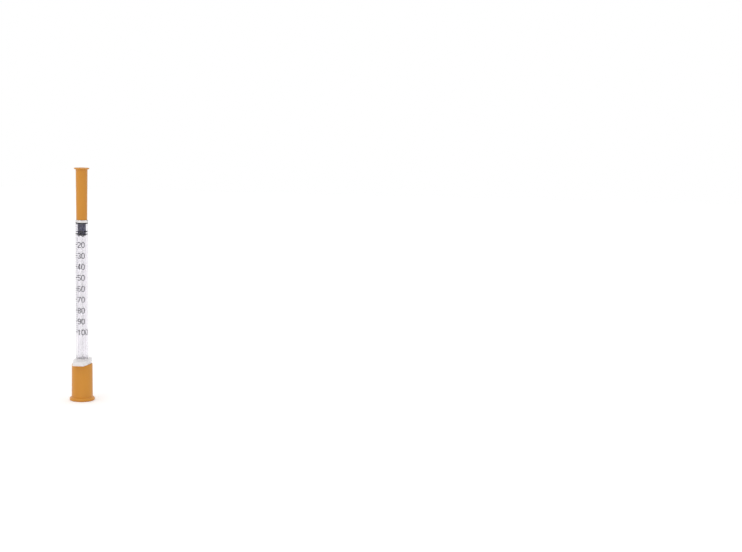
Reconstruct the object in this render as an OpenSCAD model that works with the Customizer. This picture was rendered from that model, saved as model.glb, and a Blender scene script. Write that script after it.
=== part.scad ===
// Insulin syringe for 1 mL with a fixed needle, both of its ends capped
// It stands on the foot of its plunger cap with the needle up, as it is sold
// Z runs up the axis, and the foot's middle is the origin
// The finger flange is long in Y, and the printed scale faces the negative Y side

/* [Barrel] */
// Bore of the barrel
bore_d = 4.7; // [4.4:0.05:5]
// Outside diameter of the barrel
barrel_d = 6.4; // [6:0.05:6.8]
// Wall between the end of the bore and the front shoulder
front_wall = 1.3; // [0.9:0.05:1.8]
// Rounding of the front shoulder
shoulder_r = 0.35; // [0.2:0.05:0.45]
// Bare barrel between the last mark of the scale and the finger flange
scale_foot = 15.05; // [10:0.05:20]
// How far the mouth of the bore widens, all round
mouth_flare = 0.35; // [0.2:0.05:0.5]
// Length of the bore's widened mouth
mouth_len = 0.9; // [0.5:0.05:1.5]

/* [Finger flange] */
// Length of the flange over both wings
flange_len = 18; // [15:0.1:20]
// Width of the flange at the barrel
flange_w = 9.6; // [9.4:0.1:10.8]
// Width of each wing's end
flange_end_w = 6.2; // [4:0.1:8]
// Thickness of the flange
flange_t = 2; // [1.4:0.1:2.6]
// Rounding of the wings' corners, seen from above
flange_corner_r = 0.7; // [0.5:0.05:1.2]
// Bevel round the flange's edges
flange_bevel = 0.25; // [0.1:0.05:0.4]
// Fillet between the flange and the barrel
flange_fillet = 0.5; // [0.3:0.05:0.7]
// Outside diameter of the collar behind the flange
collar_d = 8.6; // [8.2:0.05:9]
// Length of the collar behind the flange
collar_len = 7.2; // [5:0.1:9]
// Bevel on the collar's end
collar_bevel = 0.5; // [0.2:0.05:0.8]

/* [Nose and needle] */
// Length of the nose in front of the shoulder
nose_len = 10.5; // [8:0.1:13]
// Diameter of the seat that the needle shield grips
nose_seat_d = 4.4; // [4.2:0.05:4.5]
// Length of that seat
nose_seat_len = 3; // [2:0.1:4]
// Nose diameter in front of the seat
nose_d = 3.3; // [3:0.05:3.6]
// Nose diameter at its tip
nose_tip_d = 2.5; // [2.3:0.05:2.9]
// Channel from the bore to the needle
channel_d = 0.9; // [0.7:0.05:1.2]
// Length of that channel
channel_len = 2; // [1:0.1:3]
// Outside diameter of the needle
needle_d = 0.34; // [0.3:0.01:0.42]
// Bore of the needle
needle_bore_d = 0.18; // [0.14:0.01:0.22]
// Needle length in front of the nose
needle_len = 12.7; // [8:0.1:13]
// Angle of the needle's bevelled point
needle_bevel_angle = 16; // [12:1:20]
// Diameter of the well that holds the adhesive
well_d = 1.4; // [1.2:0.05:1.6]
// Depth of that well
well_depth = 1.8; // [1.2:0.1:2.5]

/* [Printed scale] */
// Length of the whole scale
dose_len = 57.65; // [50:0.05:65]
// Turn of the scale round the axis from the flange's long way, in degrees
scale_turn = 14; // [-30:1:30]
// Thickness of the marks of each 10 units
major_line = 0.34; // [0.25:0.01:0.45]
// Thickness of the marks of each 2 units
minor_line = 0.17; // [0.12:0.01:0.24]
// Height of the numerals
digit_h = 3; // [2.4:0.1:3.4]
// Width of a numeral
digit_w = 1.8; // [1.6:0.05:1.9]
// Gap between two numerals
digit_gap = 0.28; // [0.2:0.02:0.34]
// Stroke of the numerals
digit_stroke = 0.36; // [0.28:0.01:0.42]
// Thickness of the ink
ink_t = 0.03; // [0.02:0.01:0.05]

/* [Stopper] */
// Length of the rubber stopper
stopper_len = 6.65; // [6.2:0.05:7.5]
// Diameter of the stopper's waist
waist_d = 4.2; // [3.9:0.05:4.4]
// Width of a sealing rib at the bore
rib_t = 0.6; // [0.4:0.05:0.7]
// Length over which a rib slopes down to the waist
rib_slope = 0.25; // [0.15:0.05:0.35]
// Length of the stopper's tapered back end
stopper_tail = 0.45; // [0.3:0.05:0.6]

/* [Plunger] */
// Thickness of the rod's four ribs
rod_rib_t = 0.9; // [0.7:0.05:1.2]
// Thickness of the disc behind the stopper
rod_disc_t = 0.8; // [0.5:0.05:1.2]
// Neck that joins the rod to its head
neck_d = 1.1; // [0.9:0.05:1.2]
// Length of the neck inside the stopper
neck_len = 0.8; // [0.6:0.05:1]
// Head that the stopper is held by
head_d = 1.7; // [1.5:0.05:1.8]
// Length of the head
head_len = 1.2; // [0.8:0.05:1.4]
// Diameter of the thumb disc
thumb_d = 8.4; // [7.6:0.05:8.4]
// Thickness of the thumb disc
thumb_t = 1.4; // [1:0.05:1.8]
// Bevel round the thumb disc
thumb_bevel = 0.3; // [0.15:0.05:0.45]
// Bare rod between the thumb disc and the collar
thumb_out = 4.9; // [3:0.1:7]

/* [Plunger cap] */
// Outside diameter of the plunger cap at its rim
cap_rim_d = 10.85; // [10.4:0.05:11.2]
// Outside diameter just above its foot
cap_base_d = 11.05; // [10.6:0.05:11.6]
// Diameter of its foot
foot_d = 13.25; // [12.4:0.05:14]
// Height of its foot
foot_h = 2; // [1.5:0.1:2.6]
// Lower rounding of its foot
foot_round = 0.75; // [0.4:0.05:0.9]
// Rounding of its rim
cap_rim_r = 0.25; // [0.15:0.05:0.4]
// Floor of the plunger cap
cap_floor = 1; // [0.8:0.05:1.5]
// Free space between the floor and the thumb disc
thumb_space = 5.05; // [4.6:0.05:7]

/* [Needle shield] */
// Outside diameter of the needle shield at its rim
shield_rim_d = 5.7; // [5.4:0.05:6]
// Outside diameter under its brim
shield_top_d = 6.1; // [5.8:0.05:6.6]
// Diameter of the brim at its closed end
brim_d = 8; // [7:0.1:9]
// Thickness of the brim
brim_t = 0.7; // [0.5:0.05:1]
// Wall at its closed end
shield_end = 1.4; // [1:0.1:2.4]
// Space between the needle's point and the closed end
tip_space = 2.6; // [1.5:0.05:5]
// Bore of the needle shield at its closed end
shield_bore_end_d = 3.4; // [3:0.05:3.8]

/* [Fits] */
// Gap between the stopper's ribs and the bore, all round
stopper_fit = 0.03; // [0.01:0.01:0.05]
// Gap between the plunger rod and the bore, all round
rod_gap = 0.2; // [0.15:0.01:0.3]
// Gap between the rod's head and the stopper
head_fit = 0.05; // [0.03:0.01:0.08]
// Gap between the collar and the plunger cap, all round
cap_fit = 0.05; // [0.02:0.01:0.08]
// Gap between the nose's seat and the needle shield, all round
shield_fit = 0.05; // [0.02:0.01:0.08]
// Gap at the seats of both caps
seat_gap = 0.05; // [0.02:0.01:0.1]
// Gap between the stopper and the end of the bore
stopper_gap = 0.1; // [0.05:0.01:0.2]
// Film of adhesive between the needle and the nose
bond_gap = 0.01; // [0.005:0.005:0.02]

/* [Hidden] */
$fn = 64;
units = 100;
major_step = 10;
minor_step = 2;
arc_steps = 6;
hull_steps = 32;
overrun = 1;
mark_from = -100;
minor_to = -38;
major_to = -47;
number_from = -43;
ink_root_share = 0.6;
ink_lift = 0.01;

thumb_z = cap_floor + thumb_space;
collar_z = thumb_z + thumb_t + thumb_out;
flange_z = collar_z + collar_len;
flange_top_z = flange_z + flange_t;
bore_end_z = flange_top_z + scale_foot + dose_len;
shoulder_z = bore_end_z + front_wall;
nose_z = shoulder_z + nose_len;
needle_back_z = bore_end_z + channel_len;
needle_tip_z = nose_z + needle_len;
stopper_z = bore_end_z - stopper_gap - stopper_len;
rod_end_z = stopper_z - head_fit;
cap_rim_z = flange_z - seat_gap;
shield_z = shoulder_z + seat_gap;
shield_bore_z = needle_tip_z + tip_space;
shield_top_z = shield_bore_z + shield_end;

bore_r = bore_d / 2;
barrel_r = barrel_d / 2;
collar_r = collar_d / 2;
stopper_r = bore_r - stopper_fit;
waist_r = waist_d / 2;
rod_d = bore_d - 2 * rod_gap;
cap_bore_r = collar_r + cap_fit;
shield_seat_r = nose_seat_d / 2 + shield_fit;

// Points of an arc round a centre, from one angle to another
function arc(x, y, r, from, to) =
  [for (i = [0 : arc_steps]) let (a = from + (to - from) * i / arc_steps) [x + r * cos(a), y + r * sin(a)]];

function mark_z(unit) = bore_end_z - dose_len * unit / units;

// Turns a flat outline of radius and height into a round solid
module turned(points) {
  rotate_extrude() polygon(points);
}

module bevelled_disc(d, h, bevel, steps) {
  rotate_extrude($fn = steps)
    polygon([
      [0, 0], [d / 2 - bevel, 0], [d / 2, bevel],
      [d / 2, h - bevel], [d / 2 - bevel, h], [0, h]
    ]);
}

// Orange cap over the needle, pushed on to the seat of the nose
module needle_shield() {
  rim_r = shield_rim_d / 2;
  top_r = shield_top_d / 2;
  brim_r = brim_d / 2;
  brim_round = brim_t / 2;
  brim_z = shield_top_z - brim_t;
  rim_bevel = (rim_r - shield_seat_r) / 3;
  seat_z = shield_z + nose_seat_len;
  color([0.82, 0.56, 0.22])
    turned(concat(
      [[shield_seat_r + rim_bevel, shield_z], [rim_r - rim_bevel, shield_z], [rim_r, shield_z + rim_bevel]],
      [[top_r, brim_z - brim_round], [top_r + brim_round, brim_z]],
      arc(brim_r - brim_round, brim_z + brim_round, brim_round, -90, 90),
      [[0, shield_top_z], [0, shield_bore_z], [shield_bore_end_d / 2, shield_bore_z]],
      [[nose_d / 2 + (shield_seat_r - nose_d / 2) / 2, seat_z + brim_t], [shield_seat_r, seat_z]],
      [[shield_seat_r, shield_z + rim_bevel]]
    ));
}

// Steel tube with a bevelled point that faces the flange's long way
module needle_cannula() {
  slant_h = needle_d / tan(needle_bevel_angle);
  color([0.75, 0.76, 0.78])
    difference() {
      translate([0, 0, needle_back_z]) cylinder(d = needle_d, h = needle_tip_z - needle_back_z);
      translate([0, 0, needle_back_z - overrun])
        cylinder(d = needle_bore_d, h = needle_tip_z - needle_back_z + 2 * overrun);
      translate([0, needle_d / 2, needle_tip_z])
        rotate([90 - needle_bevel_angle, 0, 0])
          translate([-needle_d, -slant_h * 2, 0])
            cube([needle_d * 2, slant_h * 4, slant_h]);
    }
}

// Ring of cured adhesive in the well at the nose's tip
module cannula_adhesive() {
  color([0.86, 0.88, 0.82])
    translate([0, 0, nose_z - well_depth + bond_gap])
      difference() {
        cylinder(d = well_d - 2 * bond_gap, h = well_depth - bond_gap);
        translate([0, 0, -overrun]) cylinder(d = needle_d + 2 * bond_gap, h = well_depth + 2 * overrun);
      }
}

// Both wings of the finger flange, with rounded corners and bevelled edges
module flange_plate() {
  corner_x = flange_end_w / 2 - flange_corner_r;
  corner_y = flange_len / 2 - flange_corner_r;
  translate([0, 0, flange_z])
    hull() {
      bevelled_disc(flange_w, flange_t, flange_bevel, hull_steps);
      for (x = [-corner_x, corner_x], y = [-corner_y, corner_y])
        translate([x, y, 0]) bevelled_disc(2 * flange_corner_r, flange_t, flange_bevel, hull_steps);
    }
}

// The clear moulding: collar, finger flange, barrel and nose in one piece
module barrel() {
  seat_r = nose_seat_d / 2;
  seat_z = shoulder_z + nose_seat_len;
  step_z = seat_z + seat_r - nose_d / 2;
  tip_r = nose_tip_d / 2;
  tip_round = (nose_tip_d - well_d) / 4;
  flange_mid_z = flange_z + flange_t / 2;
  well_z = nose_z - well_depth;
  color([0.92, 0.92, 0.95])
    difference() {
      union() {
        turned(concat(
          [[0, collar_z], [collar_r - collar_bevel, collar_z], [collar_r, collar_z + collar_bevel]],
          [[collar_r, flange_mid_z], [barrel_r + flange_fillet, flange_mid_z]],
          arc(barrel_r + flange_fillet, flange_top_z + flange_fillet, flange_fillet, 270, 180),
          arc(barrel_r - shoulder_r, shoulder_z - shoulder_r, shoulder_r, 0, 90),
          [[seat_r, shoulder_z], [seat_r, seat_z], [nose_d / 2, step_z]],
          arc(tip_r - tip_round, nose_z - tip_round, tip_round, 0, 90),
          [[0, nose_z]]
        ));
        flange_plate();
      }
      turned([
        [0, collar_z - overrun], [bore_r + mouth_flare, collar_z - overrun],
        [bore_r + mouth_flare, collar_z], [bore_r, collar_z + mouth_len],
        [bore_r, bore_end_z], [0, bore_end_z]
      ]);
      translate([0, 0, bore_end_z - front_wall]) cylinder(d = channel_d, h = front_wall + channel_len);
      translate([0, 0, bore_end_z]) cylinder(d = needle_d + 2 * bond_gap, h = nose_z - bore_end_z);
      translate([0, 0, well_z]) cylinder(d = well_d, h = well_depth + overrun);
    }
}

// One printed line on the barrel
module mark(unit, line, to) {
  rotate([0, 0, scale_turn + mark_from - 90])
    rotate_extrude(angle = to - mark_from)
      translate([barrel_r + ink_lift, mark_z(unit) - line / 2])
        square([ink_t, line]);
}

module scale_major_marks() {
  color([0.12, 0.12, 0.15])
    for (unit = [0 : major_step : units]) mark(unit, major_line, major_to);
}

module scale_minor_marks() {
  color([0.12, 0.12, 0.15])
    for (unit = [0 : minor_step : units])
      if (unit % major_step != 0) mark(unit, minor_line, minor_to);
}

// Straight stroke with round ends, as high as the ink has to be before it is cut to the barrel
module bar(from, to) {
  way = to - from;
  translate([from[0], from[1], 0])
    rotate([0, 0, atan2(way[1], way[0])])
      translate([0, -digit_stroke / 2, 0])
        cube([norm(way), digit_stroke, barrel_r + digit_stroke]);
  for (end = [from, to])
    translate([end[0], end[1], 0]) cylinder(d = digit_stroke, h = barrel_r + digit_stroke);
}

// Curved stroke
module bow(middle, r, from, to) {
  translate([middle[0], middle[1], 0])
    rotate([0, 0, from])
      rotate_extrude(angle = to - from)
        translate([r - digit_stroke / 2, 0])
          square([digit_stroke, barrel_r + digit_stroke]);
}

// A numeral's strokes, from its lower left corner
module strokes(digit) {
  w = digit_w - digit_stroke;
  h = digit_h - digit_stroke;
  r = w / 2;
  q = h / 4;
  if (digit == "0") {
    bow([r, h - r], r, 0, 180);
    bow([r, r], r, 180, 360);
    bar([0, r], [0, h - r]);
    bar([w, r], [w, h - r]);
  }
  if (digit == "1") {
    bar([r, 0], [r, h]);
    bar([r / 2, h - r / 2], [r, h]);
  }
  if (digit == "2") {
    bow([r, h - r], r, -30, 180);
    bar([r + r * cos(30), h - r - r * sin(30)], [0, 0]);
    bar([0, 0], [w, 0]);
  }
  if (digit == "3") {
    bow([w - q, h - q], q, -100, 160);
    bow([w - q, q], q, -160, 100);
  }
  if (digit == "4") {
    bar([w - r / 2, 0], [w - r / 2, h]);
    bar([0, q], [w, q]);
    bar([0, q], [w - r * 3 / 4, h]);
  }
  if (digit == "5") {
    bow([r, r], r, -160, 130);
    bar([r + r * cos(130), r + r * sin(130)], [0, h]);
    bar([0, h], [w, h]);
  }
  if (digit == "6") {
    bow([r, r], r, 0, 360);
    bar([0, r], [0, h - r]);
    bow([r, h - r], r, 35, 180);
  }
  if (digit == "7") {
    bar([0, h], [w, h]);
    bar([w, h], [r / 2, 0]);
  }
  if (digit == "8") {
    bow([r, h - q], q, 0, 360);
    bow([r, q], q, 0, 360);
  }
  if (digit == "9") translate([w, h, 0]) rotate([0, 0, 180]) strokes("6");
}

// A number beside its mark, each numeral laid on the barrel by itself
module number(unit) {
  digits = str(unit);
  for (i = [0 : len(digits) - 1]) {
    reach = digit_w / 2 + i * (digit_w + digit_gap);
    rotate([0, 0, scale_turn + number_from + reach / barrel_r * 180 / PI])
      intersection() {
        rotate([90, 0, 0])
          translate([(digit_stroke - digit_w) / 2, mark_z(unit) - (digit_h - digit_stroke) / 2, barrel_r * ink_root_share])
            strokes(digits[i]);
        translate([0, 0, mark_z(unit) - digit_h])
          rotate_extrude()
            translate([barrel_r + ink_lift, 0])
              square([ink_t, digit_h * 2]);
      }
  }
}

module scale_numerals() {
  color([0.12, 0.12, 0.15])
    for (unit = [major_step : major_step : units]) number(unit);
}

// Rubber stopper with one rib in front and two behind its waist
module stopper() {
  front_z = bore_end_z - stopper_gap;
  tail_z = stopper_z + stopper_tail;
  mid_z = tail_z + rib_t + rib_slope * 2;
  neck_r = neck_d / 2 + head_fit;
  socket_r = head_d / 2 + head_fit;
  socket_z = stopper_z + neck_len - head_fit;
  color([0.13, 0.13, 0.15])
    turned([
      [neck_r, stopper_z], [waist_r, stopper_z], [stopper_r, tail_z], [stopper_r, tail_z + rib_t],
      [waist_r, tail_z + rib_t + rib_slope], [waist_r, mid_z],
      [stopper_r, mid_z + rib_slope], [stopper_r, mid_z + rib_slope + rib_t],
      [waist_r, mid_z + rib_t + rib_slope * 2], [waist_r, front_z - rib_t - rib_slope],
      [stopper_r, front_z - rib_t], [stopper_r, front_z], [0, front_z],
      [0, socket_z + head_len + 2 * head_fit], [socket_r - head_fit, socket_z + head_len + 2 * head_fit],
      [socket_r, socket_z + head_len / 2], [socket_r, socket_z], [neck_r, socket_z]
    ]);
}

// Cross-shaped rod with its thumb disc behind and the head that holds the stopper in front
module plunger_rod() {
  disc_z = rod_end_z - rod_disc_t;
  head_z = stopper_z + neck_len;
  rod_z = thumb_z + thumb_t / 2;
  color([0.95, 0.95, 0.96]) {
    translate([0, 0, thumb_z]) bevelled_disc(thumb_d, thumb_t, thumb_bevel, $fn);
    intersection() {
      translate([0, 0, rod_z]) cylinder(d = rod_d, h = disc_z + rod_disc_t / 2 - rod_z);
      for (turn = [0, 90])
        rotate([0, 0, turn])
          translate([-rod_d, -rod_rib_t / 2, rod_z])
            cube([rod_d * 2, rod_rib_t, disc_z]);
    }
    turned([
      [0, disc_z], [rod_d / 2, disc_z], [rod_d / 2, rod_end_z], [neck_d / 2, rod_end_z],
      [neck_d / 2, head_z], [head_d / 2, head_z], [head_d / 2, head_z + head_len / 2],
      [head_d / 2 - head_fit, head_z + head_len], [0, head_z + head_len]
    ]);
  }
}

// Orange cap over the thumb disc and the collar, with the foot that the syringe stands on
module plunger_cap() {
  rim_r = cap_rim_d / 2;
  base_r = cap_base_d / 2;
  foot_r = foot_d / 2;
  top_round = foot_h - foot_round;
  color([0.82, 0.56, 0.22])
    turned(concat(
      [[0, 0]],
      arc(foot_r - foot_round, foot_round, foot_round, -90, 0),
      arc(foot_r - top_round, foot_round, top_round, 15, 75),
      [[base_r, foot_h]],
      arc(rim_r - cap_rim_r, cap_rim_z - cap_rim_r, cap_rim_r, 0, 90),
      [[cap_bore_r + cap_rim_r, cap_rim_z], [cap_bore_r, cap_rim_z - cap_rim_r]],
      arc(cap_bore_r - cap_rim_r, cap_floor + cap_rim_r, cap_rim_r, 0, -90),
      [[0, cap_floor]]
    ));
}

needle_shield();
needle_cannula();
cannula_adhesive();
barrel();
scale_major_marks();
scale_minor_marks();
scale_numerals();
stopper();
plunger_rod();
plunger_cap();
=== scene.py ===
import math

import bpy
from mathutils import Matrix, Vector


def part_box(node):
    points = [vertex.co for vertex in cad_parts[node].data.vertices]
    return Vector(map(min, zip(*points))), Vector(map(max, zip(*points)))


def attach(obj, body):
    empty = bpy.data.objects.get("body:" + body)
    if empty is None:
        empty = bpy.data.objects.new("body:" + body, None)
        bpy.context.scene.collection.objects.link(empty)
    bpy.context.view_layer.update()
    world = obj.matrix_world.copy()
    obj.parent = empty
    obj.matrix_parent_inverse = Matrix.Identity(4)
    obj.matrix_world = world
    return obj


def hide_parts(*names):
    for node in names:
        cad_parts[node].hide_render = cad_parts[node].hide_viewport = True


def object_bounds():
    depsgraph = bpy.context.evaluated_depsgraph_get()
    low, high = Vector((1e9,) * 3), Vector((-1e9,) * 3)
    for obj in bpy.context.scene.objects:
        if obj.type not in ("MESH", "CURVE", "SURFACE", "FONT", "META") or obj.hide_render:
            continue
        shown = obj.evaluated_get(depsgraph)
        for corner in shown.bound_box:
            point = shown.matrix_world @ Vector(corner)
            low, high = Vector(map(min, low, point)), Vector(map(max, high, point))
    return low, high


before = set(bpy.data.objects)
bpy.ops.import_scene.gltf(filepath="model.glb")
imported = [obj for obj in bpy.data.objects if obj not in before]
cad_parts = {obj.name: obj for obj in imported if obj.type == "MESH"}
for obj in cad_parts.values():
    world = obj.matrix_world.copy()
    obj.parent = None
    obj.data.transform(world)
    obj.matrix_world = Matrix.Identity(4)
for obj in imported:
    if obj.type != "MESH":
        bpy.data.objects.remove(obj)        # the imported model: bodies, nodes, joints, record
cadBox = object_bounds()
mm = 0.001

# where the CAD pieces are at rest, in metres
shieldLow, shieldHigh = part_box("needle_shield")
barrelLow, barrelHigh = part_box("barrel")
stopperLow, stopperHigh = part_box("stopper")
rodLow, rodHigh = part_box("plunger_rod")
capLow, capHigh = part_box("plunger_cap")
needleLow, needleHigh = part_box("needle_cannula")
resinLow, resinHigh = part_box("cannula_adhesive")
boreEnd = stopperHigh.z + 0.1 * mm    # the stopper stops this short of the end of the bore


# modelling helpers

def selectOnly(piece):
    bpy.ops.object.select_all(action="DESELECT")
    piece.select_set(True)
    bpy.context.view_layer.objects.active = piece


def startEdit(piece):
    selectOnly(piece)
    bpy.ops.object.mode_set(mode="EDIT")


def endEdit():
    bpy.ops.object.mode_set(mode="OBJECT")


# points on an arc round (r, z), between two angles in degrees
def arcPoints(r, z, size, start, end, steps=6):
    turns = [math.radians(start + (end - start) * i / steps) for i in range(steps + 1)]
    return [(r + size * math.cos(t), z + size * math.sin(t)) for t in turns]


# a plane is merged to one vertex, which is extruded from point to point
def walkLine(name, points, closed):
    bpy.ops.object.select_all(action="DESELECT")
    bpy.ops.mesh.primitive_plane_add(size=mm, location=(0, 0, 0))
    piece = bpy.context.object
    piece.name = name
    bpy.ops.object.mode_set(mode="EDIT")
    bpy.ops.mesh.select_mode(type="VERT")
    bpy.ops.mesh.merge(type="CENTER")
    bpy.ops.transform.translate(value=points[0])
    for here, there in zip(points, points[1:] + points[:1] * closed):
        step = Vector(there) - Vector(here)
        bpy.ops.mesh.extrude_vertices_move(TRANSFORM_OT_translate={"value": step})
    bpy.ops.mesh.select_all(action="SELECT")
    bpy.ops.mesh.remove_doubles(threshold=1e-7)
    return piece


# a profile of (radius, height) points is spun round the axis of the syringe
def spinProfile(name, profile, steps=128, closed=True):
    piece = walkLine(name, [(r, 0, z) for r, z in profile], closed)
    bpy.ops.mesh.spin(
        steps=steps, dupli=False, angle=2 * math.pi, use_auto_merge=True,
        center=(0, 0, 0), axis=(0, 0, 1))
    bpy.ops.mesh.select_all(action="SELECT")
    bpy.ops.mesh.remove_doubles(threshold=1e-7)
    bpy.ops.mesh.normals_make_consistent(inside=False)
    endEdit()
    return piece


def applyModifier(piece, kind, **settings):
    selectOnly(piece)
    modifier = piece.modifiers.new(kind.lower(), kind)
    for key, value in settings.items():
        setattr(modifier, key, value)
    bpy.ops.object.modifier_apply(modifier=modifier.name)


# two closed forms become one, and the second is used up
def weldOn(piece, other):
    applyModifier(piece, "BOOLEAN", operation="UNION", object=other, solver="EXACT")
    bpy.data.objects.remove(other)


def smoothPiece(piece, degrees=35):
    selectOnly(piece)
    bpy.ops.object.shade_smooth_by_angle(angle=math.radians(degrees))


# the piece rides on its body, in place of the CAD node
def putOnBody(piece, body, node, material):
    piece.data.materials.clear()
    piece.data.materials.append(material)
    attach(piece, body)
    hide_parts(node)
    print("built", piece.name, len(piece.data.polygons), "faces")


# camera, at the place and angle that the photograph was taken from

cameraView = {
    "place": Vector((202.58, -812.50, 172.10)) * mm,
    "sight": Vector((-0.06189, 0.99033, -0.12414)),
    "rollDegrees": 1.135,
    "pixelsPerTangent": 1584.0,
    "photoWidth": 742.0,
    "sensor": 36.0,    # mm, as Blender gives it
    "nearest": 0.01,
    "farthest": 20.0,
}


def aimCamera(view):
    data = bpy.data.cameras.new("viewCamera")
    data.sensor_width = view["sensor"]
    data.lens = view["pixelsPerTangent"] * view["sensor"] / view["photoWidth"]
    data.clip_start, data.clip_end = view["nearest"], view["farthest"]
    camera = bpy.data.objects.new("viewCamera", data)
    bpy.context.scene.collection.objects.link(camera)
    turn = view["sight"].to_track_quat("-Z", "Y").to_matrix()
    turn = turn @ Matrix.Rotation(math.radians(view["rollDegrees"]), 3, "Z")
    camera.matrix_world = Matrix.Translation(view["place"]) @ turn.to_4x4()
    bpy.context.scene.camera = camera


aimCamera(cameraView)


# node helpers

def addNode(nodes, kind, values=None, **settings):
    node = nodes.new(kind)
    for key, value in settings.items():
        setattr(node, key, value)
    for key, value in (values or {}).items():
        node.inputs[key].default_value = value
    return node


def newGroup(name, inputs, outputs):
    group = bpy.data.node_groups.new(name, "ShaderNodeTree")
    for label, kind, value in inputs:
        socket = group.interface.new_socket(
            name=label, in_out="INPUT", socket_type="NodeSocket" + kind)
        if value is not None:
            socket.default_value = value
    for label, kind in outputs:
        group.interface.new_socket(
            name=label, in_out="OUTPUT", socket_type="NodeSocket" + kind)
    entry = group.nodes.new("NodeGroupInput")
    leave = group.nodes.new("NodeGroupOutput")
    return group, group.nodes, group.links, entry.outputs, leave.inputs


# cloudy colour, uneven gloss and a fine skin, as a moulded part has
def makeMouldedSkin():
    group, nodes, links, entry, leave = newGroup(
        "mouldedSkin",
        [("Vector", "Vector", None), ("Flow Stretch", "Float", 0.25),
         ("Cloud Scale", "Float", 120.0), ("Grain Scale", "Float", 4000.0),
         ("Light Colour", "Color", None), ("Deep Colour", "Color", None),
         ("Least Roughness", "Float", 0.3), ("Most Roughness", "Float", 0.45)],
        [("Color", "Color"), ("Roughness", "Float"), ("Height", "Float")])
    stretch = addNode(nodes, "ShaderNodeCombineXYZ", {"X": 1.0, "Y": 1.0})
    flow = addNode(nodes, "ShaderNodeVectorMath", operation="MULTIPLY")
    cloud = addNode(nodes, "ShaderNodeTexNoise", {"Detail": 4.0, "Roughness": 0.55})
    grain = addNode(nodes, "ShaderNodeTexNoise", {"Detail": 2.0, "Roughness": 0.5})
    tint = addNode(nodes, "ShaderNodeMix", data_type="RGBA")
    soften = addNode(nodes, "ShaderNodeMapRange", {"From Min": 0.3, "From Max": 0.7})
    gloss = addNode(nodes, "ShaderNodeMapRange", {"From Min": 0.3, "From Max": 0.7})
    links.new(entry["Flow Stretch"], stretch.inputs["Z"])
    links.new(entry["Vector"], flow.inputs[0])
    links.new(stretch.outputs["Vector"], flow.inputs[1])
    links.new(flow.outputs["Vector"], cloud.inputs["Vector"])
    links.new(entry["Vector"], grain.inputs["Vector"])
    links.new(entry["Cloud Scale"], cloud.inputs["Scale"])
    links.new(entry["Grain Scale"], grain.inputs["Scale"])
    links.new(cloud.outputs["Fac"], soften.inputs["Value"])
    links.new(soften.outputs["Result"], tint.inputs["Factor"])
    links.new(entry["Deep Colour"], tint.inputs["A"])
    links.new(entry["Light Colour"], tint.inputs["B"])
    links.new(cloud.outputs["Fac"], gloss.inputs["Value"])
    links.new(entry["Least Roughness"], gloss.inputs["To Min"])
    links.new(entry["Most Roughness"], gloss.inputs["To Max"])
    links.new(tint.outputs["Result"], leave["Color"])
    links.new(gloss.outputs["Result"], leave["Roughness"])
    links.new(grain.outputs["Fac"], leave["Height"])
    return group


# 1 on the thin raised line where the two halves of a mould met
def makePartingLine():
    group, nodes, links, entry, leave = newGroup(
        "partingLine",
        [("Vector", "Vector", None), ("Half Width", "Float", 0.00004)],
        [("Mask", "Float")])
    split = addNode(nodes, "ShaderNodeSeparateXYZ")
    side = addNode(nodes, "ShaderNodeMath", operation="ABSOLUTE")
    ramp = addNode(nodes, "ShaderNodeMapRange", {"From Min": 0.0, "To Min": 1.0, "To Max": 0.0})
    links.new(entry["Vector"], split.inputs["Vector"])
    links.new(split.outputs["X"], side.inputs[0])
    links.new(side.outputs["Value"], ramp.inputs["Value"])
    links.new(entry["Half Width"], ramp.inputs["From Max"])
    links.new(ramp.outputs["Result"], leave["Mask"])
    return group


# 1 on outer edges, in patches: where wear and a painted sheen lighten the colour
def makeWornAndSheenEdge():
    group, nodes, links, entry, leave = newGroup(
        "wornAndSheenEdge",
        [("Vector", "Vector", None), ("Start", "Float", 0.53),
         ("Full", "Float", 0.62), ("Patch Scale", "Float", 900.0)],
        [("Mask", "Float")])
    form = addNode(nodes, "ShaderNodeNewGeometry")
    patch = addNode(nodes, "ShaderNodeTexNoise", {"Detail": 3.0})
    ramp = addNode(nodes, "ShaderNodeMapRange")
    wornSheen = addNode(nodes, "ShaderNodeMath", operation="MULTIPLY")
    links.new(entry["Vector"], patch.inputs["Vector"])
    links.new(entry["Patch Scale"], patch.inputs["Scale"])
    links.new(form.outputs["Pointiness"], ramp.inputs["Value"])
    links.new(entry["Start"], ramp.inputs["From Min"])
    links.new(entry["Full"], ramp.inputs["From Max"])
    links.new(ramp.outputs["Result"], wornSheen.inputs[0])
    links.new(patch.outputs["Fac"], wornSheen.inputs[1])
    links.new(wornSheen.outputs["Value"], leave["Mask"])
    return group


# fine lines along the axis, left as the part was drawn out of its mould
def makeDrawLines():
    group, nodes, links, entry, leave = newGroup(
        "drawLines",
        [("Vector", "Vector", None),
         ("Line Scale", "Float", 5400.0), ("Line Stretch", "Float", 0.02)],
        [("Mask", "Float")])
    stretch = addNode(nodes, "ShaderNodeCombineXYZ", {"X": 1.0, "Y": 1.0})
    drawn = addNode(nodes, "ShaderNodeVectorMath", operation="MULTIPLY")
    lines = addNode(nodes, "ShaderNodeTexNoise", {"Detail": 3.0, "Roughness": 0.6})
    ramp = addNode(nodes, "ShaderNodeMapRange", {"From Min": 0.5, "From Max": 0.85})
    links.new(entry["Line Stretch"], stretch.inputs["Z"])
    links.new(entry["Vector"], drawn.inputs[0])
    links.new(stretch.outputs["Vector"], drawn.inputs[1])
    links.new(drawn.outputs["Vector"], lines.inputs["Vector"])
    links.new(entry["Line Scale"], lines.inputs["Scale"])
    links.new(lines.outputs["Fac"], ramp.inputs["Value"])
    links.new(ramp.outputs["Result"], leave["Mask"])
    return group


mouldedSkin = makeMouldedSkin()
drawLines = makeDrawLines()
partingLine = makePartingLine()
wornAndSheenEdge = makeWornAndSheenEdge()


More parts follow.
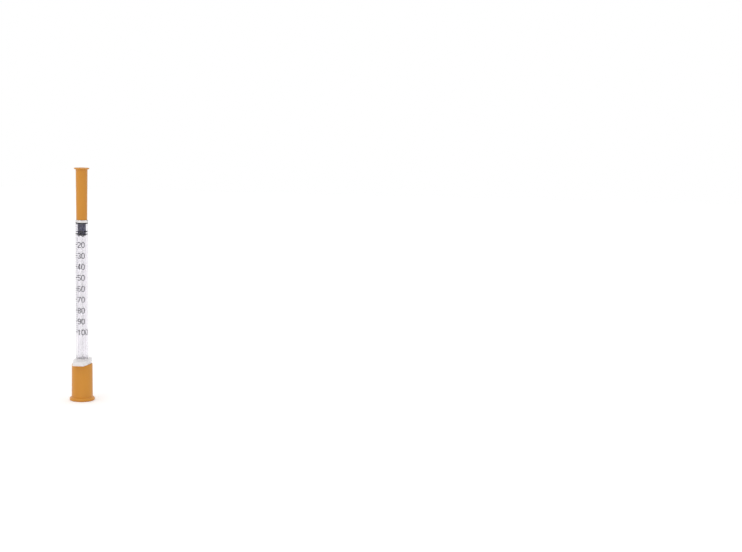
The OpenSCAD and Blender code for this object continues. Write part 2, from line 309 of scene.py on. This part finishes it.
def newMaterial(name, sockets):
    material = bpy.data.materials.new(name)
    material.use_nodes = True
    nodes, links = material.node_tree.nodes, material.node_tree.links
    nodes.clear()
    leave = addNode(nodes, "ShaderNodeOutputMaterial")
    shader = addNode(nodes, "ShaderNodeBsdfPrincipled", sockets)
    place = addNode(nodes, "ShaderNodeTexCoord")
    links.new(shader.outputs["BSDF"], leave.inputs["Surface"])
    return material, nodes, links, shader, place.outputs["Object"]


def useGroup(nodes, links, group, place, values):
    node = nodes.new("ShaderNodeGroup")
    node.node_tree = group
    for key, value in values.items():
        node.inputs[key].default_value = value
    links.new(place, node.inputs["Vector"])
    return node


def addSkin(nodes, links, place, look):
    cloud, grain, stretch = look["cloudGrainStretch"]
    return useGroup(nodes, links, mouldedSkin, place, {
        "Cloud Scale": cloud, "Grain Scale": grain, "Flow Stretch": stretch,
        "Light Colour": look["light"], "Deep Colour": look["deep"],
        "Least Roughness": look["roughness"][0], "Most Roughness": look["roughness"][1]})


def addBump(nodes, links, shader, height, distance, under=None):
    bump = addNode(nodes, "ShaderNodeBump", {"Strength": 1.0, "Distance": distance})
    links.new(height, bump.inputs["Height"])
    if under:
        links.new(under.outputs["Normal"], bump.inputs["Normal"])
    links.new(bump.outputs["Normal"], shader.inputs["Normal"])
    return bump


# a material that shows its skin and nothing more
def makeSkinMaterial(name, look):
    material, nodes, links, shader, place = newMaterial(name, look["sockets"])
    skin = addSkin(nodes, links, place, look)
    links.new(skin.outputs["Color"], shader.inputs["Base Color"])
    links.new(skin.outputs["Roughness"], shader.inputs["Roughness"])
    addBump(nodes, links, shader, skin.outputs["Height"], look["skinDepth"])
    return material


# sizes that the shapes and the finishes share

barrelForm = {
    "outerD": 6.4 * mm,
    "boreD": 4.7 * mm,
    "collarD": 8.6 * mm,
    "collarLen": 7.2 * mm,
    "collarBevel": 0.5 * mm,
    "mouthFlare": 0.35 * mm,
    "mouthLen": 0.9 * mm,
    "flangeT": 2.0 * mm,
    "flangeEndW": 6.2 * mm,
    "flangeCornerR": 0.7 * mm,
    "flangeBevel": 0.25 * mm,
    "flangeFillet": 0.5 * mm,
    "frostLen": 0.9 * mm,    # the matt skin reaches this far up the wall
    "boreFrostGap": 0.35 * mm,    # and ends this much lower in the bore
    "frontGap": 0.1 * mm,    # the front wall turns milky this far past the bore
    "frontWall": 1.3 * mm,
    "shoulderR": 0.35 * mm,
    "seatD": 4.4 * mm,
    "seatLen": 3.0 * mm,
    "noseD": 3.3 * mm,
    "noseTipD": 2.5 * mm,
    "channelD": 0.9 * mm,
    "channelLen": 2.0 * mm,
    "needleHoleD": 0.36 * mm,
    "wellD": 1.4 * mm,
    "wellDepth": 1.8 * mm,
}

stopperForm = {
    "boreD": 4.7 * mm,
    "squeeze": 0.01 * mm,
    "waistD": 4.2 * mm,
    "ribT": 0.6 * mm,
    "ribSlope": 0.25 * mm,
    "tail": 0.45 * mm,
    "ribRound": 0.06 * mm,
    "neckD": 1.2 * mm,
    "socketD": 1.8 * mm,
    "neckLen": 0.75 * mm,
    "socketLen": 1.3 * mm,
    "socketTaper": 0.9,
}

flangeLow = barrelLow.z + barrelForm["collarLen"]
flangeTop = flangeLow + barrelForm["flangeT"]


orangeLook = {
    "light": (0.640, 0.262, 0.018, 1),
    "deep": (0.585, 0.230, 0.013, 1),
    # lighter orange on worn outer edges, which is partly a painted sheen
    "rubbedSheen": (0.700, 0.330, 0.055, 1),
    "lined": (0.590, 0.236, 0.013, 1),
    "roughness": (0.32, 0.44),
    "lineRoughness": 0.14,
    "cloudGrainStretch": (160.0, 5200.0, 0.2),
    "skinDepth": 0.006 * mm,
    "drawDepth": 0.0025 * mm,
    "seamHalf": 0.06 * mm,
    "seamDepth": 0.02 * mm,
    "sockets": {"IOR": 1.5, "Specular IOR Level": 0.5},
}


def makeOrangePlastic(look):
    material, nodes, links, shader, place = newMaterial("orangePlastic", look["sockets"])
    skin = addSkin(nodes, links, place, look)
    seam = useGroup(nodes, links, partingLine, place, {"Half Width": look["seamHalf"]})
    drawn = useGroup(nodes, links, drawLines, place, {})
    wornSheen = useGroup(nodes, links, wornAndSheenEdge, place, {})
    shade = addNode(nodes, "ShaderNodeMix", data_type="RGBA")
    wearSheenTint = addNode(nodes, "ShaderNodeMix", data_type="RGBA")
    dull = addNode(nodes, "ShaderNodeMath", {2: look["roughness"][0]}, operation="MULTIPLY_ADD")
    gloss = addNode(nodes, "ShaderNodeMath", operation="MAXIMUM")
    shade.inputs["B"].default_value = look["lined"]
    # outer edges turn a lighter orange: wear, and a painted sheen
    wearSheenTint.inputs["B"].default_value = look["rubbedSheen"]
    dull.inputs[1].default_value = look["lineRoughness"]
    links.new(drawn.outputs["Mask"], shade.inputs["Factor"])
    links.new(skin.outputs["Color"], shade.inputs["A"])
    links.new(wornSheen.outputs["Mask"], wearSheenTint.inputs["Factor"])
    links.new(shade.outputs["Result"], wearSheenTint.inputs["A"])
    links.new(wearSheenTint.outputs["Result"], shader.inputs["Base Color"])
    links.new(drawn.outputs["Mask"], dull.inputs[0])
    links.new(dull.outputs["Value"], gloss.inputs[0])
    links.new(skin.outputs["Roughness"], gloss.inputs[1])
    links.new(gloss.outputs["Value"], shader.inputs["Roughness"])
    fine = addBump(nodes, links, shader, skin.outputs["Height"], look["skinDepth"])
    lined = addBump(nodes, links, shader, drawn.outputs["Mask"], look["drawDepth"], under=fine)
    addBump(nodes, links, shader, seam.outputs["Mask"], look["seamDepth"], under=lined)
    return material


clearLook = {
    "light": (0.972, 0.964, 0.980, 1),
    "deep": (0.958, 0.949, 0.966, 1),
    "edge": (0.820, 0.780, 0.850, 1),
    "roughness": (0.09, 0.15),
    "hazeRoughness": 0.42,
    "hazeLen": 5.0 * mm,
    "cloudGrainStretch": (220.0, 900.0, 0.12),
    "skinDepth": 0.0012 * mm,
    "sockets": {"IOR": 1.49, "Transmission Weight": 1.0},
}


def makeClearPlastic(look):
    material, nodes, links, shader, place = newMaterial("clearPlastic", look["sockets"])
    skin = addSkin(nodes, links, place, look)
    facing = addNode(nodes, "ShaderNodeLayerWeight", {"Blend": 0.5})
    thick = addNode(nodes, "ShaderNodeMix", data_type="RGBA")
    thick.inputs["B"].default_value = look["edge"]
    links.new(facing.outputs["Facing"], thick.inputs["Factor"])
    links.new(skin.outputs["Color"], thick.inputs["A"])
    links.new(thick.outputs["Result"], shader.inputs["Base Color"])
    # the wall turns hazy towards the flange
    split = addNode(nodes, "ShaderNodeSeparateXYZ")
    haze = addNode(nodes, "ShaderNodeMapRange", {
        "From Min": flangeTop, "From Max": flangeTop + look["hazeLen"],
        "To Min": look["hazeRoughness"], "To Max": 0.0})
    rough = addNode(nodes, "ShaderNodeMath", operation="MAXIMUM")
    links.new(place, split.inputs["Vector"])
    links.new(split.outputs["Z"], haze.inputs["Value"])
    links.new(skin.outputs["Roughness"], rough.inputs[0])
    links.new(haze.outputs["Result"], rough.inputs[1])
    links.new(rough.outputs["Value"], shader.inputs["Roughness"])
    addBump(nodes, links, shader, skin.outputs["Height"], look["skinDepth"])
    return material


# the thick places of the barrel scatter more light: the flange, and the wall behind the nose,
# which also has a painted warm tint
frostedLook = {
    "light": (0.992, 0.948, 0.960, 1),
    "deep": (0.964, 0.914, 0.928, 1),
    "roughness": (0.38, 0.5),
    "cloudGrainStretch": (350.0, 3800.0, 1.0),
    "skinDepth": 0.01 * mm,
    "sockets": {
        "IOR": 1.49, "Transmission Weight": 0.2, "Subsurface Weight": 0.6,
        "Subsurface Radius": (1, 1, 1), "Subsurface Scale": 3.0 * mm},
}

# the front wall: milky, and its warm, darker colour is painted orange light from the shield and
# painted shade
frontMilkPaintedBounceLook = {
    "light": (0.955, 0.922, 0.905, 1),
    "deep": (0.930, 0.892, 0.875, 1),
    "roughness": (0.35, 0.45),
    "cloudGrainStretch": (350.0, 3800.0, 1.0),
    "skinDepth": 0.004 * mm,
    "sockets": {"IOR": 1.49, "Transmission Weight": 0.8},
}

rodLook = {
    "light": (0.995, 0.986, 1.000, 1),
    "deep": (0.975, 0.965, 0.983, 1),
    "roughness": (0.07, 0.13),
    "cloudGrainStretch": (260.0, 4200.0, 0.1),
    "skinDepth": 0.0012 * mm,
    "sockets": {"IOR": 1.49, "Transmission Weight": 0.95},
}

rubberLook = {
    "light": (0.026, 0.023, 0.095, 1),
    "deep": (0.014, 0.012, 0.062, 1),
    "pressedShade": (0.004, 0.003, 0.014, 1),    # painted shade on the ribs, where the wall presses them
    "pressedShadeFrom": 0.1 * mm,    # outside the waist
    "pressedShadeFull": 0.03 * mm,    # inside the bore
    "roughness": (0.45, 0.6),
    "cloudGrainStretch": (500.0, 6500.0, 1.0),
    "skinDepth": 0.012 * mm,
    "sockets": {
        "IOR": 1.52, "Specular IOR Level": 0.2, "Coat Weight": 0.05, "Coat Roughness": 0.15},
}


def makeStopperRubber(look):
    material, nodes, links, shader, place = newMaterial("stopperRubber", look["sockets"])
    skin = addSkin(nodes, links, place, look)
    across = addNode(nodes, "ShaderNodeVectorMath", operation="MULTIPLY")
    across.inputs[1].default_value = (1, 1, 0)
    reach = addNode(nodes, "ShaderNodeVectorMath", operation="LENGTH")
    pressedShadeMask = addNode(nodes, "ShaderNodeMapRange", {
        "From Min": stopperForm["waistD"] / 2 + look["pressedShadeFrom"],
        "From Max": stopperForm["boreD"] / 2 - look["pressedShadeFull"]})
    # the rib faces that press the wall are painted darker: painted shade
    rib = addNode(nodes, "ShaderNodeMix", data_type="RGBA")
    rib.inputs["B"].default_value = look["pressedShade"]
    links.new(place, across.inputs[0])
    links.new(across.outputs["Vector"], reach.inputs[0])
    links.new(reach.outputs["Value"], pressedShadeMask.inputs["Value"])
    links.new(pressedShadeMask.outputs["Result"], rib.inputs["Factor"])
    links.new(skin.outputs["Color"], rib.inputs["A"])
    links.new(rib.outputs["Result"], shader.inputs["Base Color"])
    links.new(skin.outputs["Roughness"], shader.inputs["Roughness"])
    addBump(nodes, links, shader, skin.outputs["Height"], look["skinDepth"])
    return material


steelLook = {
    "light": (0.640, 0.650, 0.665, 1),
    "deep": (0.520, 0.530, 0.550, 1),
    "roughness": (0.16, 0.28),
    "cloudGrainStretch": (2600.0, 12000.0, 0.05),
    "skinDepth": 0.001 * mm,
    "sockets": {"Metallic": 1.0},
}

resinLook = {
    "light": (0.930, 0.940, 0.860, 1),
    "deep": (0.860, 0.880, 0.780, 1),
    "roughness": (0.05, 0.15),
    "cloudGrainStretch": (1500.0, 3000.0, 1.0),
    "skinDepth": 0.004 * mm,
    "sockets": {"IOR": 1.5, "Transmission Weight": 0.7},
}

inkLook = {
    "light": (0.060, 0.058, 0.075, 1),
    "deep": (0.018, 0.018, 0.026, 1),
    "roughness": (0.42, 0.6),
    "cloudGrainStretch": (1400.0, 7000.0, 1.0),
    "skinDepth": 0.006 * mm,
    "sockets": {"Specular IOR Level": 0.35},
}

# thin lines print paler
fineInkLook = {
    "light": (0.400, 0.385, 0.450, 1),
    "deep": (0.290, 0.275, 0.335, 1),
    "roughness": (0.42, 0.6),
    "cloudGrainStretch": (1400.0, 7000.0, 1.0),
    "skinDepth": 0.003 * mm,
    "sockets": {"Specular IOR Level": 0.35},
}


orangePlastic = makeOrangePlastic(orangeLook)
clearPlastic = makeClearPlastic(clearLook)
frostedPlastic = makeSkinMaterial("frostedPlastic", frostedLook)
frontMilkPaintedBounce = makeSkinMaterial("frontMilkPaintedBounce", frontMilkPaintedBounceLook)
rodPlastic = makeSkinMaterial("rodPlastic", rodLook)
stopperRubber = makeStopperRubber(rubberLook)
needleSteel = makeSkinMaterial("needleSteel", steelLook)
curedResin = makeSkinMaterial("curedResin", resinLook)
scaleInk = makeSkinMaterial("scaleInk", inkLook)
fineInk = makeSkinMaterial("fineInk", fineInkLook)
print("materials made")


# needle shield

shieldForm = {
    "rimD": 5.7 * mm,
    "topD": 6.1 * mm,
    "brimT": 0.7 * mm,
    "endWall": 1.4 * mm,
    "seatD": 4.5 * mm,
    "seatLen": 3.0 * mm,
    "stepD": 3.95 * mm,
    "endBoreD": 3.4 * mm,
    "rimRound": 0.18 * mm,
    "neckFillet": 0.5 * mm,
    "gateD": 1.6 * mm,
    "gateDepth": 0.25 * mm,
}


def buildNeedleShield(form):
    low, high = shieldLow.z, shieldHigh.z
    rim, top, brim = form["rimD"] / 2, form["topD"] / 2, shieldHigh.x
    edge, fillet, half = form["rimRound"], form["neckFillet"], form["brimT"] / 2
    gate, gateZ = form["gateD"] / 2, high - form["gateDepth"]
    seat, seatTop = form["seatD"] / 2, low + form["seatLen"]
    boreTop = high - form["endWall"]
    profile = [(seat + edge / 2, low), (rim - edge, low)]
    profile += arcPoints(rim - edge, low + edge, edge, -90, 0)[1:]
    profile += arcPoints(top + fillet, high - form["brimT"] - fillet, fillet, 180, 90)
    profile += arcPoints(brim - half, high - half, half, -90, 90, 8)
    profile += [(gate + form["gateDepth"], high), (gate, gateZ), (0, gateZ)]
    profile += [(0, boreTop), (form["endBoreD"] / 2, boreTop)]
    profile += [(form["stepD"] / 2, seatTop + form["brimT"]), (seat, seatTop)]
    profile += [(seat, low + edge / 2)]
    piece = spinProfile("needleShieldSkin", profile)
    smoothPiece(piece)
    return piece


needleShield = buildNeedleShield(shieldForm)
putOnBody(needleShield, "needle_shield", "needle_shield", orangePlastic)


# plunger cap

capForm = {
    "rimD": 10.85 * mm,
    "baseD": 11.05 * mm,
    "boreD": 8.7 * mm,
    "footH": 2.0 * mm,
    "footRound": 0.75 * mm,
    "rimRound": 0.25 * mm,
    "floor": 1.0 * mm,
    "gateD": 1.4 * mm,
    "gateDepth": 0.3 * mm,
}


def buildPlungerCap(form):
    low, high, foot = capLow.z, capHigh.z, capHigh.x
    rim, base, bore = form["rimD"] / 2, form["baseD"] / 2, form["boreD"] / 2
    edge, lower = form["rimRound"], form["footRound"]
    gate, gateZ = form["gateD"] / 2, low + form["gateDepth"]
    upper = form["footH"] - lower
    profile = [(0, gateZ), (gate, gateZ), (gate + form["gateDepth"], low)]
    profile += arcPoints(foot - lower, low + lower, lower, -90, 0, 8)
    profile += arcPoints(foot - upper, low + lower, upper, 8, 75, 8)
    profile += [(base, low + form["footH"])]
    profile += arcPoints(rim - edge, high - edge, edge, 0, 90)
    profile += arcPoints(bore + edge, high - edge, edge, 90, 180)
    profile += arcPoints(bore - edge, low + form["floor"] + edge, edge, 0, -90)
    profile += [(0, low + form["floor"])]
    piece = spinProfile("plungerCapSkin", profile)
    smoothPiece(piece)
    return piece


plungerCap = buildPlungerCap(capForm)
putOnBody(plungerCap, "plunger_cap", "plunger_cap", orangePlastic)


# barrel with its flange

# a disc in the middle and one at each corner, under one hull
def buildFlange(form):
    corner = form["flangeCornerR"]
    cornerX, cornerY = form["flangeEndW"] / 2 - corner, barrelHigh.y - corner
    spots = [(0, 0, barrelHigh.x, 96)]
    for x in (-1, 1):
        for y in (-1, 1):
            spots.append((x * cornerX, y * cornerY, corner, 32))
    bpy.ops.object.select_all(action="DESELECT")
    discs = []
    for x, y, radius, sides in spots:
        bpy.ops.mesh.primitive_cylinder_add(
            vertices=sides, radius=radius, depth=form["flangeT"],
            location=(x, y, flangeLow + form["flangeT"] / 2))
        discs.append(bpy.context.object)
    for disc in discs:
        disc.select_set(True)
    bpy.context.view_layer.objects.active = discs[0]
    bpy.ops.object.join()
    plate = bpy.context.object
    plate.name = "flangePlate"
    bpy.ops.object.transform_apply(location=True, rotation=True, scale=True)
    bpy.ops.object.mode_set(mode="EDIT")
    bpy.ops.mesh.select_all(action="SELECT")
    bpy.ops.mesh.convex_hull(delete_unused=True, use_existing_faces=False, join_triangles=True)
    bpy.ops.mesh.select_all(action="SELECT")
    bpy.ops.mesh.dissolve_limited(angle_limit=math.radians(1))
    bpy.ops.mesh.select_all(action="SELECT")
    bpy.ops.mesh.normals_make_consistent(inside=False)
    endEdit()
    applyModifier(
        plate, "BEVEL", width=form["flangeBevel"], segments=4, limit_method="ANGLE",
        angle_limit=math.radians(50))
    return plate


def buildBarrel(form):
    low, tip = barrelLow.z, barrelHigh.z
    outer, bore, collar = form["outerD"] / 2, form["boreD"] / 2, form["collarD"] / 2
    seat, nose, noseTip = form["seatD"] / 2, form["noseD"] / 2, form["noseTipD"] / 2
    channel, hole, well = form["channelD"] / 2, form["needleHoleD"] / 2, form["wellD"] / 2
    flangeMiddle = flangeLow + form["flangeT"] / 2
    frostTop = flangeTop + form["frostLen"]
    channelTop, wellZ = boreEnd + form["channelLen"], tip - form["wellDepth"]
    shoulder = boreEnd + form["frontWall"]
    bevel, fillet, edge = form["collarBevel"], form["flangeFillet"], form["shoulderR"]
    flare, tipRound = form["mouthFlare"], (noseTip - well) / 2
    seatTop = shoulder + form["seatLen"]
    profile = [(bore + flare, low), (collar - bevel, low), (collar, low + bevel)]
    profile += [(collar, flangeMiddle), (outer + fillet, flangeMiddle)]
    profile += arcPoints(outer + fillet, flangeTop + fillet, fillet, 270, 180, 8)
    profile += [(outer, frostTop), (outer, boreEnd + form["frontGap"])]
    profile += arcPoints(outer - edge, shoulder - edge, edge, 0, 90)
    profile += [(seat, shoulder), (seat, seatTop), (nose, seatTop + seat - nose)]
    profile += arcPoints(noseTip - tipRound, tip - tipRound, tipRound, 0, 90)
    profile += [(well, tip), (well, wellZ), (hole, wellZ)]
    profile += [(hole, channelTop), (channel, channelTop), (channel, boreEnd)]
    profile += [(bore, boreEnd), (bore, frostTop - form["boreFrostGap"])]
    profile += [(bore, low + form["mouthLen"])]
    piece = spinProfile("barrelShell", profile)
    weldOn(piece, buildFlange(form))
    smoothPiece(piece, 30)
    return piece


barrelShell = buildBarrel(barrelForm)
putOnBody(barrelShell, "barrel", "barrel", clearPlastic)


# the flange and the collar have a matt skin, and the front wall is milky, with a warm, darker tint
# that is painted orange light from the shield and painted shade
def finishThickParts(piece, form):
    piece.data.materials.append(frostedPlastic)
    piece.data.materials.append(frontMilkPaintedBounce)
    slack = 0.01 * mm    # takes in the faces that end on the line
    frostTop = flangeTop + form["frostLen"] + slack
    frontLow = boreEnd + form["frontGap"] - slack
    for face in piece.data.polygons:
        heights = [piece.data.vertices[v].co.z for v in face.vertices]
        if max(heights) < frostTop:
            face.material_index = 1
        elif min(heights) > frontLow:
            face.material_index = 2


finishThickParts(barrelShell, barrelForm)


# stopper, pressed against the bore all round its ribs

def buildStopper(form):
    low, high = stopperLow.z, stopperHigh.z
    rib, waist = form["boreD"] / 2 + form["squeeze"], form["waistD"] / 2
    thick, slope, edge = form["ribT"], form["ribSlope"], form["ribRound"]
    neck, socket = form["neckD"] / 2, form["socketD"] / 2
    tail = low + form["tail"]
    middle = tail + thick + slope * 2
    socketZ = low + form["neckLen"]
    socketTop = socketZ + form["socketLen"]
    profile = [(neck, low), (waist, low)]
    for start in (tail, middle + slope):
        profile += arcPoints(rib - edge, start + edge, edge, -45, 0, 3)
        profile += arcPoints(rib - edge, start + thick - edge * 2, edge, 0, 45, 3)
        profile += [(waist, start + thick + slope), (waist, start + thick + slope * 2)]
    profile += [(waist, high - thick - slope)]
    profile += arcPoints(rib - edge, high - thick + edge, edge, -45, 0, 3)
    profile += arcPoints(rib - edge, high - edge, edge, 0, 90, 5)
    profile += [(0, high), (0, socketTop), (socket * form["socketTaper"], socketTop)]
    profile += [(socket, socketZ + form["socketLen"] / 2), (socket, socketZ), (neck, socketZ)]
    piece = spinProfile("rubberStopper", profile)
    smoothPiece(piece, 40)
    return piece


putOnBody(buildStopper(stopperForm), "stopper", "stopper", stopperRubber)


# plunger rod

rodForm = {
    "spanD": 4.3 * mm,
    "ribT": 0.9 * mm,
    "ribEdge": 0.08 * mm,
    "discT": 0.8 * mm,
    "neckD": 1.1 * mm,
    "neckLen": 0.8 * mm,
    "headD": 1.7 * mm,
    "headLen": 1.2 * mm,
    "headTaper": 0.9,
    "stopperGap": 0.05 * mm,
    "thumbT": 1.4 * mm,
    "thumbBevel": 0.3 * mm,
}


# four ribs: the outline of a cross, extruded along the rod
def buildRodRibs(form):
    reach, half = form["spanD"] / 2, form["ribT"] / 2
    side = math.sqrt(reach ** 2 - half ** 2)
    bottom = rodLow.z + form["thumbT"] / 2
    top = stopperLow.z - form["stopperGap"] - form["discT"] / 2
    outline = []
    for turn in range(4):
        angle = math.radians(90 * turn)
        for x, y in ((side, -half), (reach, 0), (side, half), (half, half)):
            outline.append((
                x * math.cos(angle) - y * math.sin(angle),
                x * math.sin(angle) + y * math.cos(angle), bottom))
    piece = walkLine("rodRibs", outline, True)
    bpy.ops.mesh.edge_face_add()
    bpy.ops.mesh.extrude_region_move(TRANSFORM_OT_translate={"value": (0, 0, top - bottom)})
    bpy.ops.mesh.select_all(action="SELECT")
    bpy.ops.mesh.normals_make_consistent(inside=False)
    endEdit()
    applyModifier(
        piece, "BEVEL", width=form["ribEdge"], segments=2, limit_method="ANGLE",
        angle_limit=math.radians(40))
    return piece


def buildRod(form):
    low, high = rodLow.z, rodHigh.z
    thumb, bevel = rodHigh.x, form["thumbBevel"]
    thumbTop = low + form["thumbT"]
    discTop = stopperLow.z - form["stopperGap"]
    disc, neck, head = form["spanD"] / 2, form["neckD"] / 2, form["headD"] / 2
    headZ = stopperLow.z + form["neckLen"]
    piece = buildRodRibs(form)
    profile = [(0, low), (thumb - bevel, low)]
    profile += arcPoints(thumb - bevel, low + bevel, bevel, -90, 0)[1:]
    profile += arcPoints(thumb - bevel, thumbTop - bevel, bevel, 0, 90)
    profile += [(0, thumbTop)]
    weldOn(piece, spinProfile("thumbDisc", profile, 96, False))
    profile = [(0, discTop - form["discT"]), (disc, discTop - form["discT"]), (disc, discTop)]
    profile += [(neck, discTop), (neck, headZ), (head, headZ), (head, headZ + form["headLen"] / 2)]
    profile += [(head * form["headTaper"], high), (0, high)]
    weldOn(piece, spinProfile("rodHead", profile, 64, False))
    piece.name = "plungerRodSkin"
    smoothPiece(piece, 30)
    return piece


putOnBody(buildRod(rodForm), "plunger_rod", "plunger_rod", rodPlastic)


# needle and the resin that holds it

needleForm = {
    "boreD": 0.18 * mm,
    "bevelDegrees": 16.0,
}


def buildNeedle(form):
    low, high, outer = needleLow.z, needleHigh.z, needleHigh.x
    bore = form["boreD"] / 2
    slant = math.radians(form["bevelDegrees"])
    profile = [(bore, low), (outer, low), (outer, high), (bore, high)]
    piece = spinProfile("needleTube", profile, 48)
    startEdit(piece)
    bpy.ops.mesh.select_all(action="SELECT")
    bpy.ops.mesh.bisect(
        plane_co=(0, outer, high), plane_no=(0, -math.cos(slant), math.sin(slant)),
        use_fill=True, clear_outer=True, threshold=1e-9)
    bpy.ops.mesh.select_all(action="SELECT")
    bpy.ops.mesh.normals_make_consistent(inside=False)
    endEdit()
    smoothPiece(piece, 40)
    return piece


putOnBody(buildNeedle(needleForm), "barrel", "needle_cannula", needleSteel)


resinForm = {
    "filmGap": 0.01 * mm,
    "riseShare": 3,    # it creeps up the needle by the ring's width over this
    "dipAt": 0.75,
    "dipDepth": 0.8,
}


def buildResin(form):
    low, high, outer = resinLow.z, resinHigh.z, resinHigh.x
    inner = needleHigh.x + form["filmGap"]
    rise = (outer - inner) / form["riseShare"]
    profile = [(inner, low), (outer, low), (outer, high - rise / 2)]
    profile += [(outer * form["dipAt"], high - rise)]
    profile += [(inner + rise, high - rise * form["dipDepth"]), (inner, high)]
    piece = spinProfile("resinRing", profile, 64)
    smoothPiece(piece, 60)
    return piece


putOnBody(buildResin(resinForm), "barrel", "cannula_adhesive", curedResin)


# printed scale: the CAD marks and numerals stay, in ink

scaleInks = {
    "scale_major_marks": scaleInk,
    "scale_minor_marks": fineInk,
    "scale_numerals": scaleInk,
}

for name, ink in scaleInks.items():
    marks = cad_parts[name]
    marks.data.materials.clear()
    marks.data.materials.append(ink)
print("scale inked")


# floor, light and background

stageLook = {
    "floorSize": 3.0,
    "floorColour": (0.93, 0.93, 0.93, 1),
    "floorLift": 0.16,
    "lightLevel": 1.0,
    "rightLevel": 0.80,
    "rightReach": 0.8,    # the light is at its right level from here on
    "keyPlace": (-0.45, -1.1, 1.0),
    "keyPower": 2.0,
    "keySize": 0.9,
}


# 1 for what the camera sees, also off a gloss or through the clear plastic
def seenRays(nodes, links):
    path = addNode(nodes, "ShaderNodeLightPath")
    seen = addNode(nodes, "ShaderNodeMath", operation="MAXIMUM")
    seenAll = addNode(nodes, "ShaderNodeMath", operation="MAXIMUM")
    links.new(path.outputs["Is Camera Ray"], seen.inputs[0])
    links.new(path.outputs["Is Glossy Ray"], seen.inputs[1])
    links.new(seen.outputs["Value"], seenAll.inputs[0])
    links.new(path.outputs["Is Transmission Ray"], seenAll.inputs[1])
    return seenAll.outputs["Value"]


def buildFloor(look):
    bpy.ops.object.select_all(action="DESELECT")
    bpy.ops.mesh.primitive_plane_add(size=look["floorSize"], location=(0, 0, 0))
    floor = bpy.context.object
    floor.name = "floor"
    material, nodes, links, shader, place = newMaterial("floorWhite", {
        "Base Color": look["floorColour"], "Roughness": 0.9, "Specular IOR Level": 0.1,
        "Emission Color": (1, 1, 1, 1)})
    lift = addNode(nodes, "ShaderNodeMath", {1: look["floorLift"]}, operation="MULTIPLY")
    links.new(seenRays(nodes, links), lift.inputs[0])
    links.new(lift.outputs["Value"], shader.inputs["Emission Strength"])
    floor.data.materials.append(material)


def buildWorld(look):
    world = bpy.data.worlds.new("studioWorld")
    bpy.context.scene.world = world
    world.use_nodes = True
    nodes, links = world.node_tree.nodes, world.node_tree.links
    nodes.clear()
    leave = addNode(nodes, "ShaderNodeOutputWorld")
    place = addNode(nodes, "ShaderNodeTexCoord")
    split = addNode(nodes, "ShaderNodeSeparateXYZ")
    fall = addNode(nodes, "ShaderNodeMapRange", {
        "From Min": 0.0, "From Max": look["rightReach"],
        "To Min": look["lightLevel"], "To Max": look["rightLevel"]})
    light = addNode(nodes, "ShaderNodeBackground", {"Color": (1, 1, 1, 1)})
    white = addNode(nodes, "ShaderNodeBackground", {"Color": (1, 1, 1, 1), "Strength": 1.0})
    mix = addNode(nodes, "ShaderNodeMixShader")
    links.new(place.outputs["Generated"], split.inputs["Vector"])
    links.new(split.outputs["X"], fall.inputs["Value"])
    links.new(fall.outputs["Result"], light.inputs["Strength"])
    links.new(seenRays(nodes, links), mix.inputs["Fac"])
    links.new(light.outputs["Background"], mix.inputs[1])
    links.new(white.outputs["Background"], mix.inputs[2])
    links.new(mix.outputs["Shader"], leave.inputs["Surface"])


def addLamp(name, place, size, power):
    data = bpy.data.lights.new(name, "AREA")
    data.shape, data.size, data.energy = "DISK", size, power
    lamp = bpy.data.objects.new(name, data)
    bpy.context.scene.collection.objects.link(lamp)
    target = (cadBox[0] + cadBox[1]) / 2
    lamp.location = place
    lamp.rotation_euler = (target - Vector(place)).to_track_quat("-Z", "Y").to_euler()


buildFloor(stageLook)
buildWorld(stageLook)
addLamp("keyLamp", stageLook["keyPlace"], stageLook["keySize"], stageLook["keyPower"])
bpy.context.scene.view_settings.view_transform = "Standard"
print("stage set")
